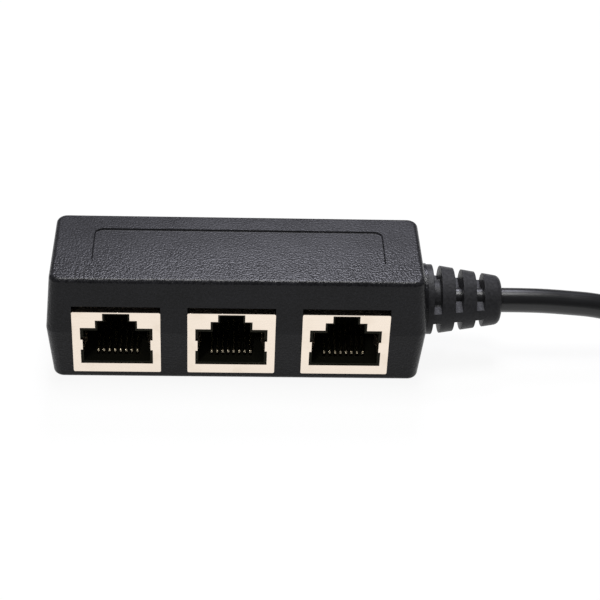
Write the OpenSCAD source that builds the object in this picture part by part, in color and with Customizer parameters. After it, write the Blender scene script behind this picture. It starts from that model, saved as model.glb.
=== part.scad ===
// Splitter adapter with three modular sockets in a row and one cord with a plug.
// X runs along the row towards the cord, Y runs from the socket faces to the back, Z is up.
// The origin is the centre of the housing's underside.

/* [Housing] */
// Length of the housing at its parting line
body_w = 69; // [68.5:0.5:76]
// Depth of the housing at its parting line
body_d = 23; // [22.6:0.2:28]
// Height of the housing
body_h = 22; // [21.2:0.2:26]
// How far each wall leans in from the parting line to the top and to the bottom
draft_in = 0.83; // [0.3:0.05:1.1]
// Radius of the upright corners
corner_r = 2; // [1.4:0.1:3]
// Rounding of the edges round the top and the bottom
edge_r = 0.9; // [0.5:0.1:1.2]
// Thickness of the floor under the sockets
floor_t = 1.95; // [1.6:0.05:2.4]
// Thickness of the roof over the inner mould
roof_t = 2; // [1.4:0.1:2.4]
// Thickness of the end walls at the parting line
end_wall = 3.2; // [2.8:0.1:3.4]
// Thickness of the front wall at the parting line
front_wall = 3.1; // [2.4:0.1:4]
// Thickness of the back wall at the parting line
back_wall = 2.6; // [2:0.1:3]

/* [Top panel] */
// Length of the sunk panel on top
panel_w = 52.8; // [40:0.2:56]
// Depth of the sunk panel from front to back
panel_d = 11.2; // [8:0.1:14]
// How deep the panel is sunk
panel_sink = 0.3; // [0.1:0.05:0.6]
// How far the panel's walls lean outwards on their way up
panel_slope = 0.2; // [0.1:0.05:0.4]
// Corner radius of the panel
panel_r = 1.5; // [0.5:0.1:3]
// How far the panel's middle lies towards the cord
panel_x = 0.2; // [0:0.05:0.5]
// How far the panel's middle lies towards the back
panel_y = 0.15; // [0:0.05:0.4]

/* [Socket shields] */
// Distance from one socket's centre to the next
jack_pitch = 20.76; // [19.5:0.02:21]
// Where the middle socket's centre lies along the housing
jack_shift = -1.05; // [-2:0.05:0]
// Outside width of a shield
shield_w = 15.9; // [15.4:0.1:16.2]
// Distance from a shield's top to the housing's top
over_shield = 6.65; // [6.2:0.05:7]
// Thickness of the inner mould behind a shield
shield_back = 2.8; // [2:0.1:3.4]
// Thickness of the shield's sheet
sheet_t = 0.25; // [0.2:0.01:0.3]
// Outside radius of the shield's folds
fold_r = 0.3; // [0.3:0.05:0.6]
// How far the shield faces lie behind the housing's parting line
face_in = 0.2; // [0:0.05:0.6]
// Height of the gap between a shield and the housing above it
top_gap = 1.1; // [0.4:0.1:1.6]

/* [Socket opening] */
// Width of the opening in a shield's face
opening_w = 13.05; // [12.4:0.05:13.4]
// Height of the lip under the opening
opening_lip = 1.92; // [1.5:0.02:2.2]
// Width of the step over the opening
step_w = 7.55; // [7:0.05:8.4]
// Height of the step
step_h = 1.68; // [1.2:0.02:2]
// Height of the shield's face over the step
top_band = 1.8; // [1.6:0.05:2.2]
// Width of the notch over the step
notch_w = 4.88; // [4:0.02:5.6]
// Height of the tab on each side of the opening
tab_h = 2.25; // [1.6:0.05:3]
// Share of the opening's height that lies under the tabs
tab_share = 0.385; // [0.3:0.005:0.5]
// How far each tab stands into the opening
tab_in = 0.35; // [0.1:0.05:0.5]
// Depth at which a side spring bends back outwards
spring_bend = 3.1; // [2.4:0.1:4]
// Length of a side spring behind the face
spring_l = 5.6; // [4.8:0.1:6.4]
// How far a side spring leans into the opening
spring_in = 0.65; // [0.3:0.05:0.8]

/* [Socket insulator] */
// Width of the cavity that takes the plug
cavity_w = 12; // [11.9:0.05:12.3]
// How far the cavity's ceiling lies under the opening's full width
ceiling_drop = 0.72; // [0.5:0.02:0.9]
// Distance from the back of the cavity to the back of the shield
cavity_back = 4.8; // [4.6:0.1:5.4]
// Height of the cavity's floor over the shield's underside
cavity_z = 2.3; // [2.1:0.05:2.4]
// Width of the latch slot over the cavity
latch_slot_w = 6.8; // [6.3:0.1:7.2]
// Height of the latch slot
latch_slot_h = 2; // [1.6:0.1:2.2]
// Width of the upper latch slot
latch_top_w = 4.2; // [3.4:0.1:4.6]
// Thickness of the insulator left over the upper latch slot
latch_roof = 0.4; // [0.3:0.05:0.8]

/* [Contacts] */
// Distance from one contact to the next
contact_pitch = 1.016; // [1.01:0.001:1.03]
// Width of a contact
contact_w = 0.4; // [0.3:0.02:0.46]
// Thickness of a contact
contact_t = 0.3; // [0.2:0.02:0.32]
// Clearance round a contact in its slot
contact_gap = 0.08; // [0.04:0.01:0.12]
// Depth at which a contact rises through the cavity's floor
contact_y = 2.95; // [2.6:0.05:3.4]
// Height at which a contact turns back over the cavity's floor
contact_turn = 0.45; // [0.3:0.05:0.6]
// Distance from a contact's free tip to the back of the cavity
tip_gap = 2.4; // [2:0.1:4.6]
// Height of a contact's free tip over the cavity's floor
tip_rise = 2.3; // [1.6:0.1:2.4]
// Inner bend radius of a contact
contact_bend = 0.3; // [0.2:0.05:0.34]
// Distance from the front row of contact tails to the back of the shield
tail_back = 3.7; // [3.5:0.05:3.75]
// How far a contact's run lies under the cavity's floor
run_drop = 1.2; // [1:0.05:1.3]
// Distance between the two rows of contact tails
tail_pitch = 2.54; // [2.2:0.02:2.6]
// Length of a tail over the board
tail_over = 1.1; // [0.8:0.1:1.2]

/* [Board] */
// Thickness of the circuit board
board_t = 1.2; // [0.8:0.1:1.6]
// Distance from the board's edge to the faces of the inner mould
board_edge = 0.8; // [0.5:0.1:1.1]
// Radius of the holes for the contact tails
hole_r = 0.42; // [0.36:0.02:0.46]
// Radius of a solder joint on the board
solder_r = 0.6; // [0.5:0.05:0.75]
// Height of a solder joint
solder_h = 0.75; // [0.5:0.05:0.8]
// Diameter of an insulated core
core_d = 0.7; // [0.6:0.02:0.76]
// Distance between the cores where they leave the jacket
core_gap = 0.25; // [0.2:0.01:0.3]
// Distance from one core pair to the next at the board
core_pitch = 2.2; // [1.6:0.1:2.4]
// How far under the board the cores have spread apart
fan_drop = 0.85; // [0.7:0.05:1.2]
// Room over the contact tails
tail_room = 0.4; // [0.2:0.1:0.8]
// Wall between the last shield and the room where the cores turn up to the board
room_wall = 0.5; // [0.4:0.05:0.6]
// Wall between that room and the end of the inner mould
room_end = 0.8; // [0.6:0.05:1]

/* [Strain relief] */
// Radius of the strain relief's collar
collar_r = 6.55; // [6.2:0.05:6.8]
// Length of the collar
collar_l = 1.2; // [1:0.05:2]
// Radius of the last rib at its outer end
tip_r = 4.5; // [4:0.05:4.8]
// Rounding of the last rib
tip_round = 1.25; // [0.8:0.05:1.5]
// Length of the strain relief outside the housing
relief_l = 14.05; // [13.6:0.05:16]
// Distance from one slot to the next
rib_pitch = 4; // [3.8:0.05:4.2]
// Width of a slot between two ribs
rib_slot = 1.5; // [1:0.05:1.7]
// Half the height of the webs that join the ribs
web_half = 1.1; // [0.8:0.05:1.6]
// Radius of the sleeve that closes the slot next to the collar
sleeve_r = 3.7; // [3:0.1:4.2]
// Radius of the neck in the housing's wall
neck_r = 4.6; // [4:0.1:5]
// Radius of the flange inside the wall
flange_r = 6; // [5.4:0.1:6.4]
// Thickness of the flange
flange_t = 1.2; // [0.8:0.1:1.4]
// Radius of the round boss on the housing's end
boss_r = 6.75; // [6.6:0.05:7]
// How far the boss stands out of the parting line
boss_out = 0.5; // [0.2:0.05:0.8]

/* [Cord] */
// Diameter of the cord
cord_d = 4.6; // [4.4:0.1:4.6]
// Clearance between the cord and what it passes through
cord_gap = 0.05; // [0.03:0.01:0.1]

/* [Plug] */
// Width of the plug's body
plug_w = 11.68; // [11.6:0.02:11.74]
// Height of the plug's body without its latch
plug_h = 6.6; // [6.4:0.05:6.8]
// Length of the plug's body
plug_l = 21.5; // [21:0.1:22]
// Depth to which the cord's jacket reaches into the plug
jacket_in = 8; // [7:0.1:9]
// Width of the latch lever
lever_w = 3.25; // [3:0.05:3.4]
// Width of the latch's shoulders
shoulder_w = 6; // [5.8:0.05:6.2]
// Thickness of the latch lever
lever_t = 0.8; // [0.6:0.05:1]
// Length of the latch lever
lever_l = 14.1; // [13:0.1:14.6]
// Distance from the plug's nose to the latch's hinge
hinge_in = 1.4; // [1.3:0.05:1.8]
// Height of the latch's hinge over the plug's body
hinge_h = 1.1; // [0.9:0.05:1.3]
// Height of the latch lever's free end over the plug's body
lever_rise = 3.2; // [2.6:0.1:3.4]
// Share of the lever's length from its hinge to the start of its shoulders
shoulder_from = 0.08; // [0.05:0.01:0.15]
// Share of the lever's length from its hinge to the end of its shoulders
shoulder_to = 0.42; // [0.3:0.01:0.5]
// Thickness of the plug's nose in front of the blades
nose_t = 0.9; // [0.7:0.05:1.1]
// Depth and length of the step in the top of the nose
nose_step = 0.6; // [0.4:0.05:0.8]
// How far the cores lie under the cord's axis in the plug
core_drop = 0.8; // [0.6:0.05:0.9]
// Height of the cores' channel
channel_h = 1.2; // [1:0.05:1.3]
// How far a blade's lower edge lies over the plug's underside
blade_up = 0.5; // [0.3:0.05:0.7]
// Clearance round a blade in its slot
blade_gap = 0.02; // [0.01:0.01:0.05]
// Thickness of a plug blade
blade_t = 0.3; // [0.2:0.02:0.34]
// Height of a plug blade
blade_h = 3; // [2.6:0.1:3.2]
// Length of a plug blade
blade_l = 2.4; // [2:0.1:2.8]
// Length of the boot behind the plug
boot_l = 13; // [12:0.5:13]
// Radius of the boot's thin end
boot_r = 3.4; // [3.1:0.1:3.5]
// Length of the boot's thin end before its first groove
boot_end = 1.55; // [1.2:0.05:2]
// Distance from one groove in the boot to the next
groove_pitch = 2.6; // [2.4:0.1:3]
// Width of a groove in the boot
groove_w = 1; // [0.8:0.05:1.2]
// Depth of a groove at the boot's thin end
groove_t = 0.5; // [0.3:0.05:0.6]
// How far the boot's wide end stands in from the plug's sides
boot_in = 0.3; // [0.2:0.05:0.5]

/* [Hidden] */

// Cuts run this far past the faces that they open
past = 1;
// Solids that are joined run this far into each other
joined = 0.1;
// Number of sockets and of ways in each socket and in the plug
jack_count = 3;
ways = 8;
pairs = 4;

// Height of the parting line and of the cord's axis
mid_z = body_h / 2;
// Y of the shield faces
face_y = face_in - body_d / 2;
// Outside height and depth of a shield
shield_h = body_h - floor_t - over_shield;
shield_d = body_d - face_in - back_wall - shield_back;
// Half length of the inner mould, its front, back and top
mould_x = body_w / 2 - end_wall;
mould_front = front_wall - body_d / 2;
mould_back = body_d / 2 - back_wall;
mould_top = body_h - roof_t;
// Underside of the board
board_z = floor_t + shield_h;
// Height of the step's top, the full opening's top and the underside of the shield's top sheet
step_top = shield_h - top_band;
opening_top = step_top - step_h;
sheet_top = shield_h - sheet_t;
// Height of the opening's full width, and of the tabs' lower edge over the shield's underside
opening_h = opening_top - opening_lip;
tab_z = opening_lip + tab_share * opening_h;
// Height of the cavity's ceiling and of the latch slot's ceiling, and the cavity's height and depth
cavity_top = opening_top - ceiling_drop;
latch_top = cavity_top + latch_slot_h;
cavity_h = cavity_top - cavity_z;
cavity_d = shield_d - cavity_back;
// Depth of a contact's free tip and of the front row of tails
tip_y = cavity_d - tip_gap;
tail_y = shield_d - tail_back;
// Width of a contact's slot, and the height of the contact's run under the cavity's floor
slot_w = contact_w + 2 * contact_gap;
run_z = cavity_z - run_drop;
// Half length of a row of contacts, from the first centre to the last
row_half = (ways - 1) / 2 * contact_pitch;
// Radius of the holes that the cord passes through
cord_bore_r = cord_d / 2 + cord_gap;
// X of the strain relief's seat on the boss and of its outer end
seat_x = body_w / 2 + boss_out;
relief_end = seat_x + relief_l;
// Room beside the last socket where the cores turn up to the board
room_x0 = jack_x(jack_count) + shield_w / 2 + room_wall;
room_x1 = mould_x - room_end;
room_half = (pairs - 1) / 2 * core_pitch + core_d;

// Height of the cord's axis in the plug
cord_r = cord_d / 2;
axis_z = plug_h / 2 + boot_in;

// The cord's centre line. X is counted from the core room's end. The third number is a share of
// the height that the line loses from the strain relief to the surface the housing stands on
falling_route = [
    [0, 0, 1], [5.5, 0, 1], [11.5, 0, 1], [18.5, 0, 1], [22.5, 0, 1], [26.5, 0, 0.99],
    [31.5, 0, 0.95], [36.5, 0, 0.89], [41.5, 0, 0.76], [46.5, 0, 0.59], [51.5, 0, 0.38],
    [56.5, 0, 0.18], [61.5, 0, 0.06], [66.5, 0, 0.01], [72.5, 0, 0], [79.5, 0, 0],
    [86.5, 0, 0], [93.5, 0, 0], [100.5, 0, 0]
];
// The rest of it, round one loose bend. The third number is a share of the rise into the plug
returning_route = [
    [106.6, 1.2, 0], [111.8, 4.7, 0], [115.3, 9.9, 0.1], [116.5, 16, 0.2],
    [115.3, 22.1, 0.3], [111.8, 27.3, 0.45], [106.6, 30.8, 0.6], [100.5, 32, 0.75],
    [95.5, 32, 0.9], [90.5, 32, 1], [83.5, 32, 1], [76.5, 32, 1], [69.5, 32, 1]
];
cord_route = concat(
    [for (p = falling_route) [room_x1 + p[0], p[1], cord_r + p[2] * (mid_z - cord_r)]],
    [for (p = returning_route) [room_x1 + p[0], p[1], cord_r + p[2] * (axis_z - cord_r)]]
);
cord_sides = 12;
last = len(cord_route) - 1;
// Where the plug's rear face lies
plug_x = cord_route[last][0] + jacket_in;
plug_y = cord_route[last][1];
// Height of the core row in the plug, and the distance of its blades from the plug's rear face
plug_core_z = axis_z - core_drop;
blade_u = plug_l - nose_t - blade_l;

function jack_x(k) = jack_shift + (k - (jack_count + 1) / 2) * jack_pitch;
function way_x(i) = (i - (ways + 1) / 2) * contact_pitch;
function tail_at(i) = tail_y + (i % 2) * tail_pitch;
function unit(v) = v / norm(v);

// Points of an arc of radius r that rounds the corner b between a and c
function corner(a, b, c, r, steps = 4) =
    let (
        u = unit(a - b),
        v = unit(c - b),
        half = acos(u * v) / 2,
        centre = b + unit(u + v) * r / sin(half),
        from = b + u * r / tan(half) - centre,
        to = b + v * r / tan(half) - centre,
        sweep = 180 - 2 * half
    )
    [for (s = [0:steps])
        centre + (sin(sweep * (1 - s / steps)) * from + sin(sweep * s / steps) * to) / sin(sweep)];

// The line through all points of a path, with each inner corner rounded to radius r
function rounded(path, r, steps = 4) = concat(
    [path[0]],
    [for (i = [1:len(path) - 2])
        for (p = corner(path[i - 1], path[i], path[i + 1], r, steps)) p],
    [path[len(path) - 1]]
);

// Direction along a flat path at point i
function heading(path, i) =
    unit(path[min(i + 1, len(path) - 1)] - path[max(i - 1, 0)]);

// Outline of a strip of thickness t whose middle follows the path
function strip(path, t) =
    let (n = len(path) - 1)
    concat(
        [for (i = [0:n]) path[i] + t / 2 * [-heading(path, i)[1], heading(path, i)[0]]],
        [for (i = [n:-1:0]) path[i] - t / 2 * [-heading(path, i)[1], heading(path, i)[0]]]
    );

// One ring of a tube's skin round point i of its path, with level as the direction it never takes
function ring(path, i, d, sides, level) =
    let (
        along = heading(path, i),
        side = unit(cross(along, level)),
        up = cross(side, along)
    )
    [for (s = [0:sides - 1])
        let (a = (s + 0.5) * 360 / sides)
        path[i] + d / 2 * (cos(a) * side + sin(a) * up)];

// Extrudes a flat shape drawn in X and Z along Y, from 0 to the given depth
module along_y(depth) {
    translate([0, depth, 0]) rotate([90, 0, 0]) linear_extrude(depth) children();
}

// Extrudes a flat shape drawn in Y and Z along X, centred
module along_x(width) {
    rotate([90, 0, 90]) linear_extrude(width, center = true) children();
}

// Turns a profile drawn as X along the cord and Y as radius about the cord's axis
module about_cord() {
    translate([0, 0, mid_z]) rotate([0, 90, 0]) rotate_extrude($fn = 64) rotate(90)
        mirror([0, 1]) children();
}

module round_rect(w, h, r) {
    offset(r, $fn = 32) square([w - 2 * r, h - 2 * r], center = true);
}

// A box with X centred, Y from y0 and Z from z0
module box(w, y0, depth, z0, height) {
    translate([-w / 2, y0, z0]) cube([w, depth, height]);
}

// A tube along a path, as one skin with closed ends
module tube(path, d, sides, level) {
    end = len(path) - 1;
    polyhedron(
        [for (i = [0:end]) for (p = ring(path, i, d, sides, level)) p],
        concat(
            [[for (s = [0:sides - 1]) s]],
            [for (i = [0:end - 1]) for (s = [0:sides - 1]) for (f = [0:1])
                let (a = i * sides + s, b = i * sides + (s + 1) % sides)
                f == 0 ? [a, a + sides, b] : [b, a + sides, b + sides]],
            [[for (s = [sides - 1:-1:0]) end * sides + s]]
        )
    );
}

// Puts a socket's pieces in their place: X from its centre, Y from its face, Z from its underside
module at_jack(k) {
    translate([jack_x(k), face_y, floor_t]) children();
}

// The block that a shield fills, grown or shrunk by the same amount all round
module shield_block(shrink, y0, depth) {
    translate([0, y0, shield_h / 2])
        along_y(depth)
            round_rect(shield_w - 2 * shrink, shield_h - 2 * shrink, fold_r - shrink);
}

// Outer form: full at the parting line, leaning in to a rounded top and bottom
module housing_form() {
    half_w = body_w / 2;
    half_d = body_d / 2;
    hull() {
        translate([0, 0, mid_z]) linear_extrude(0.02, center = true)
            round_rect(body_w, body_d, corner_r);
        for (x = [-1, 1], y = [-1, 1], z = [-1, 1])
            translate([
                x * (half_w - draft_in - corner_r),
                y * (half_d - draft_in - corner_r),
                mid_z + z * (mid_z - edge_r)
            ])
                rotate_extrude($fn = 32) {
                    translate([corner_r - edge_r, 0]) intersection() {
                        circle(edge_r, $fn = 32);
                        translate([0, -edge_r]) square([edge_r, 2 * edge_r]);
                    }
                    translate([0, -edge_r]) square([corner_r - edge_r, 2 * edge_r]);
                }
    }
}

module housing() {
    color([0.17, 0.17, 0.18]) difference() {
        union() {
            housing_form();
            translate([body_w / 2 - end_wall / 2, 0, mid_z]) rotate([0, 90, 0])
                cylinder(h = end_wall / 2 + boss_out, r = boss_r, $fn = 64);
        }
        translate([-mould_x, mould_front, floor_t])
            cube([2 * mould_x, mould_back - mould_front, mould_top - floor_t]);
        for (k = [1:jack_count]) at_jack(k) {
            shield_block(0, -past, mould_front - face_y + past);
            box(shield_w, -past, mould_front - face_y + past, shield_h - fold_r, top_gap + fold_r);
        }
        translate([panel_x, panel_y, body_h]) hull() {
            translate([0, 0, -panel_sink]) linear_extrude(past)
                round_rect(panel_w, panel_d, panel_r);
            linear_extrude(past)
                round_rect(
                    panel_w + 2 * panel_slope, panel_d + 2 * panel_slope, panel_r + panel_slope
                );
        }
        translate([mould_x - past, 0, mid_z]) rotate([0, 90, 0])
            cylinder(h = end_wall + boss_out + 2 * past, r = neck_r, $fn = 64);
        translate([mould_x - past, 0, mid_z]) rotate([0, 90, 0])
            cylinder(h = past + flange_t, r = flange_r, $fn = 64);
    }
}

// Flange, neck, collar and tapered ribs as one turned profile with three slots above and below
module strain_relief() {
    slot_x = seat_x + collar_l;
    slot_h = collar_r + past - web_half;
    color([0.16, 0.16, 0.17]) difference() {
        about_cord()
            polygon(concat(
                [
                    [mould_x, cord_bore_r], [mould_x, flange_r - cord_gap],
                    [mould_x + flange_t, flange_r - cord_gap],
                    [mould_x + flange_t, neck_r - cord_gap], [seat_x, neck_r - cord_gap],
                    [seat_x, collar_r], [seat_x + collar_l, collar_r]
                ],
                corner(
                    [seat_x + collar_l, collar_r], [relief_end, tip_r],
                    [relief_end, cord_bore_r], tip_round, 6
                ),
                [[relief_end, cord_bore_r]]
            ));
        for (n = [0:2], side = [0, 180])
            translate([slot_x + n * rib_pitch, 0, mid_z]) rotate([side, 0, 0]) difference() {
                translate([0, -collar_r - past, web_half])
                    cube([rib_slot, 2 * (collar_r + past), slot_h]);
                if (n == 0) translate([-past, 0, 0]) rotate([0, 90, 0])
                    cylinder(h = rib_slot + 2 * past, r = sleeve_r, $fn = 48);
            }
    }
}

module inner_mould() {
    color([0.1, 0.1, 0.1]) difference() {
        translate([-mould_x, mould_front, floor_t])
            cube([2 * mould_x, mould_back - mould_front, mould_top - floor_t]);
        for (k = [1:jack_count]) at_jack(k) {
            shield_block(0, 0, shield_d);
            box(
                2 * row_half + 4 * solder_r, tail_y - 2 * solder_r, tail_pitch + 4 * solder_r,
                shield_h - past, past + board_t + tail_over + tail_room
            );
        }
        board_block();
        translate([room_x0, -room_half, mid_z - cord_d / 2])
            cube([room_x1 - room_x0, 2 * room_half, board_z - mid_z + cord_d / 2]);
        translate([room_x0, 0, mid_z]) rotate([0, 90, 0])
            cylinder(h = mould_x - room_x0 + past, r = cord_bore_r, $fn = 64);
    }
}

module board_block() {
    translate([-mould_x + board_edge, mould_front + board_edge, board_z])
        cube([2 * (mould_x - board_edge), mould_back - mould_front - 2 * board_edge, board_t]);
}

module board() {
    color([0.1, 0.35, 0.2]) difference() {
        board_block();
        for (k = [1:jack_count], i = [1:ways])
            translate([jack_x(k) + way_x(i), face_y + tail_at(i), board_z - past])
                cylinder(h = board_t + 2 * past, r = hole_r, $fn = 16);
    }
}

// One side spring and its tab, on the side that sign gives
module side_spring(sign) {
    edge = opening_w / 2 - tab_in;
    spring = strip(
        rounded(
            [[edge + joined, sheet_t / 2], [edge - spring_in, spring_bend], [edge, spring_l]],
            1
        ),
        sheet_t
    );
    translate([0, 0, tab_z]) linear_extrude(tab_h)
        polygon([for (p = spring) [sign * p[0], p[1]]]);
    translate([sign * (edge + tab_in / 2), sheet_t / 2, tab_z + tab_h / 2])
        cube([tab_in + joined, sheet_t, tab_h], center = true);
}

module shield(k) {
    color([0.9, 0.86, 0.8]) at_jack(k) {
        difference() {
            shield_block(0, 0, shield_d);
            shield_block(sheet_t, sheet_t, shield_d - 2 * sheet_t);
            box(opening_w, -past, past + 2 * sheet_t, opening_lip, opening_h);
            box(step_w, -past, past + 2 * sheet_t, opening_lip, step_top - opening_lip);
            box(notch_w, -past, past + 2 * sheet_t, opening_lip, sheet_top - opening_lip);
            box(
                2 * row_half + 2 * solder_r, tail_y - solder_r,
                tail_pitch + 2 * solder_r, shield_h - 2 * sheet_t, 2 * sheet_t + past
            );
        }
        side_spring(-1);
        side_spring(1);
    }
}

// The slot that one contact lies in: a run under the floor, open above it in front, and a rise behind
module contact_slot(i) {
    tail = tail_at(i);
    room = contact_t / 2 + contact_gap * 2;
    translate([way_x(i), 0, 0]) along_x(slot_w)
        polygon([
            [contact_y - 2 * room, run_z - room], [tail + room, run_z - room],
            [tail + room, shield_h + past], [tail - room, shield_h + past],
            [tail - room, run_z + room], [tip_y + 2 * room, run_z + room],
            [tip_y + 2 * room, cavity_z + room], [contact_y - 2 * room, cavity_z + room]
        ]);
}

module insulator(k) {
    spring_room = opening_w - 2 * tab_in + 3 * sheet_t;
    color([0.05, 0.05, 0.05]) at_jack(k) difference() {
        shield_block(sheet_t, sheet_t, shield_d - 2 * sheet_t);
        box(cavity_w, 0, cavity_d, cavity_z, cavity_h);
        box(latch_slot_w, 0, cavity_d, cavity_top - past, latch_slot_h + past);
        box(latch_top_w, 0, cavity_d, latch_top - past, sheet_top - latch_roof - latch_top + past);
        box(spring_room, 0, spring_l + 2 * sheet_t, tab_z - sheet_t, tab_h + 2 * sheet_t);
        for (i = [1:ways]) contact_slot(i);
    }
}

// One bent contact: tail through the board, drop behind the cavity, run under its floor,
// rise through it near the mouth and free end sloping back over the floor
module contact(k, i) {
    tail = tail_at(i);
    over = shield_h + board_t;
    middle = rounded(
        [
            [tail, over + tail_over], [tail, run_z], [contact_y, run_z],
            [contact_y, cavity_z + contact_turn], [tip_y, cavity_z + tip_rise]
        ],
        contact_bend + contact_t / 2
    );
    color([0.85, 0.68, 0.35]) at_jack(k) translate([way_x(i), 0, 0]) {
        along_x(contact_w) polygon(strip(middle, contact_t));
        translate([0, tail, over])
            cylinder(h = solder_h, r1 = solder_r, r2 = contact_t, $fn = 16);
    }
}

// One core from the jacket's end to the board: two layers of cores leave the jacket,
// and layer 0, the upper one, rises nearer to it than layer 1
module core(n, layer) {
    side = n - (pairs + 1) / 2;
    rise_x = room_x1 - core_d - layer * (core_d + core_gap);
    start_z = mid_z + (0.5 - layer) * (core_d + core_gap);
    fan_z = board_z - fan_drop;
    tube(
        rounded(
            [
                [room_x1, side * (core_d + core_gap), start_z],
                [rise_x, side * (core_d + core_gap), start_z],
                [rise_x, side * core_pitch, fan_z],
                [rise_x, side * core_pitch, board_z]
            ],
            core_d / 2, 2
        ),
        core_d, 8, [0, 1, 0]
    );
}

pair_colours = [[0.15, 0.3, 0.7], [0.85, 0.45, 0.1], [0.15, 0.5, 0.25], [0.4, 0.25, 0.15]];

module core_pair(n) {
    color(pair_colours[n - 1]) {
        core(n, 0);
        core(n, 1);
    }
}

module cord() {
    color([0.12, 0.12, 0.13]) tube(cord_route, cord_d, cord_sides, [0, 0, 1]);
}

// Puts the plug's pieces in place: X from its rear face to its nose, Y from its middle, Z from below
module at_plug() {
    translate([plug_x, plug_y, 0]) rotate([0, 0, 180]) children();
}

module plug_bore(from, to) {
    translate([from, 0, axis_z]) rotate([0, 90, 0])
        cylinder(h = to - from, r = cord_bore_r, $fn = 32);
}

// Latch: a lever hinged near the nose that rises towards the rear, with wider shoulders
module latch() {
    bend = [plug_l - hinge_in, plug_h + hinge_h];
    finger = [bend[0] - lever_l, plug_h + lever_rise];
    from = bend + (finger - bend) * shoulder_from;
    to = bend + (finger - bend) * shoulder_to;
    lever = [[bend[0] - 2 * joined, plug_h - joined], bend, finger];
    along_y_centred(lever_w) polygon(strip(lever, lever_t));
    along_y_centred(shoulder_w) polygon(strip([from, to], lever_t));
}

module along_y_centred(width) {
    translate([0, -width / 2, 0]) along_y(width) children();
}

module plug_body() {
    channel_w = 2 * (row_half + core_d);
    color([0.8, 0.83, 0.85, 0.5]) at_plug() {
        difference() {
            translate([0, -plug_w / 2, 0]) cube([plug_l, plug_w, plug_h]);
            plug_bore(-past, jacket_in);
            translate([jacket_in - cord_gap, -channel_w / 2, plug_core_z - channel_h / 2])
                cube([blade_u + blade_l / 2 - jacket_in, channel_w, channel_h]);
            for (i = [1:ways])
                translate([blade_u - blade_gap, way_x(i) - blade_t / 2 - blade_gap, -past])
                    cube([blade_l + 2 * blade_gap, blade_t + 2 * blade_gap, past + blade_h + blade_gap]);
            translate([plug_l - nose_step, -plug_w / 2 - past, plug_h - nose_step])
                cube([past + nose_step, plug_w + 2 * past, past + nose_step]);
        }
        latch();
    }
}

// Tapered sleeve with three grooves round it
module plug_boot() {
    overlap = boot_in + cord_gap;
    color([0.16, 0.16, 0.17]) at_plug() difference() {
        hull() {
            translate([-overlap, 0, axis_z]) rotate([0, 90, 0])
                linear_extrude(overlap)
                    round_rect(2 * axis_z - 2 * cord_gap, plug_w - 2 * boot_in, corner_r);
            translate([-boot_l, 0, axis_z]) rotate([0, 90, 0])
                cylinder(h = boot_l / 3, r = boot_r, $fn = 32);
        }
        plug_bore(-boot_l - past, past);
        for (n = [0:2])
            translate([boot_end + n * groove_pitch - boot_l, 0, axis_z]) rotate([0, 90, 0]) difference() {
                cylinder(h = groove_w, r = plug_w, $fn = 32);
                translate([0, 0, -past])
                    cylinder(h = groove_w + 2 * past, r = boot_r - groove_t, $fn = 32);
            }
    }
}

module blade(i) {
    color([0.85, 0.68, 0.35]) at_plug()
        translate([blade_u, way_x(i) - blade_t / 2, blade_up])
            cube([blade_l, blade_t, blade_h - blade_up]);
}

module plug_pair(n) {
    color(pair_colours[n - 1]) at_plug()
        for (i = [2 * n - 1, 2 * n])
            translate([jacket_in, way_x(i), plug_core_z]) rotate([0, 90, 0])
                cylinder(h = blade_u - core_gap - jacket_in, d = core_d, $fn = 8);
}

housing();
strain_relief();
inner_mould();
board();
for (k = [1:jack_count]) {
    shield(k);
    insulator(k);
    for (i = [1:ways])
        contact(k, i);
}
for (n = [1:pairs]) {
    core_pair(n);
    plug_pair(n);
}
cord();
plug_boot();
plug_body();
for (i = [1:ways])
    blade(i);
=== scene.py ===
"""Dresses a packed three-socket splitter adapter: body, plated sockets, cord and clear plug.

X runs along the row of sockets towards the cord, Y from the socket faces to the back, Z up.
Lengths are in metres and the housing stands on the plane Z = 0.
"""

from __future__ import annotations

import logging
import math
from dataclasses import dataclass, field
from enum import Enum
from typing import Any, Iterable, Sequence

import bmesh
import bpy
import numpy as np
from mathutils import Matrix, Vector

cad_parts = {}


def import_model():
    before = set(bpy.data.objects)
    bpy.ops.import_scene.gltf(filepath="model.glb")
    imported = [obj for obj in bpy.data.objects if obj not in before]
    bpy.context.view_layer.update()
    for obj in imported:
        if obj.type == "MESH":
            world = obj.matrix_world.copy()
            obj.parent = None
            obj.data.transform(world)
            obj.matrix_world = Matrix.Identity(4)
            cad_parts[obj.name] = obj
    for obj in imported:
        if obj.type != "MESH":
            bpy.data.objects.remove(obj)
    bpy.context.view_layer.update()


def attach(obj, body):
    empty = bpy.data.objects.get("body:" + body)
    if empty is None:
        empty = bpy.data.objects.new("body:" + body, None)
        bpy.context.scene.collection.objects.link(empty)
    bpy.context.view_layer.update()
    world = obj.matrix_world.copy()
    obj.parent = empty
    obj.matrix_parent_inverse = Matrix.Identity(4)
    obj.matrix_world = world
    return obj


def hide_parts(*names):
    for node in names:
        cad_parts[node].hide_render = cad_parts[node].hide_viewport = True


log = logging.getLogger("splitter")

MM = 0.001
JACKS = (1, 2, 3)
WAYS = tuple(range(1, 9))
BODY = "root"

FOLD_ANGLE = math.radians(32)
SHARP_ANGLE = math.radians(34)
FLAT_ANGLE = math.radians(0.4)
WELD = 0.002 * MM
EVEN_WEIGHT = 80


# Shader arithmetic


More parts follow.
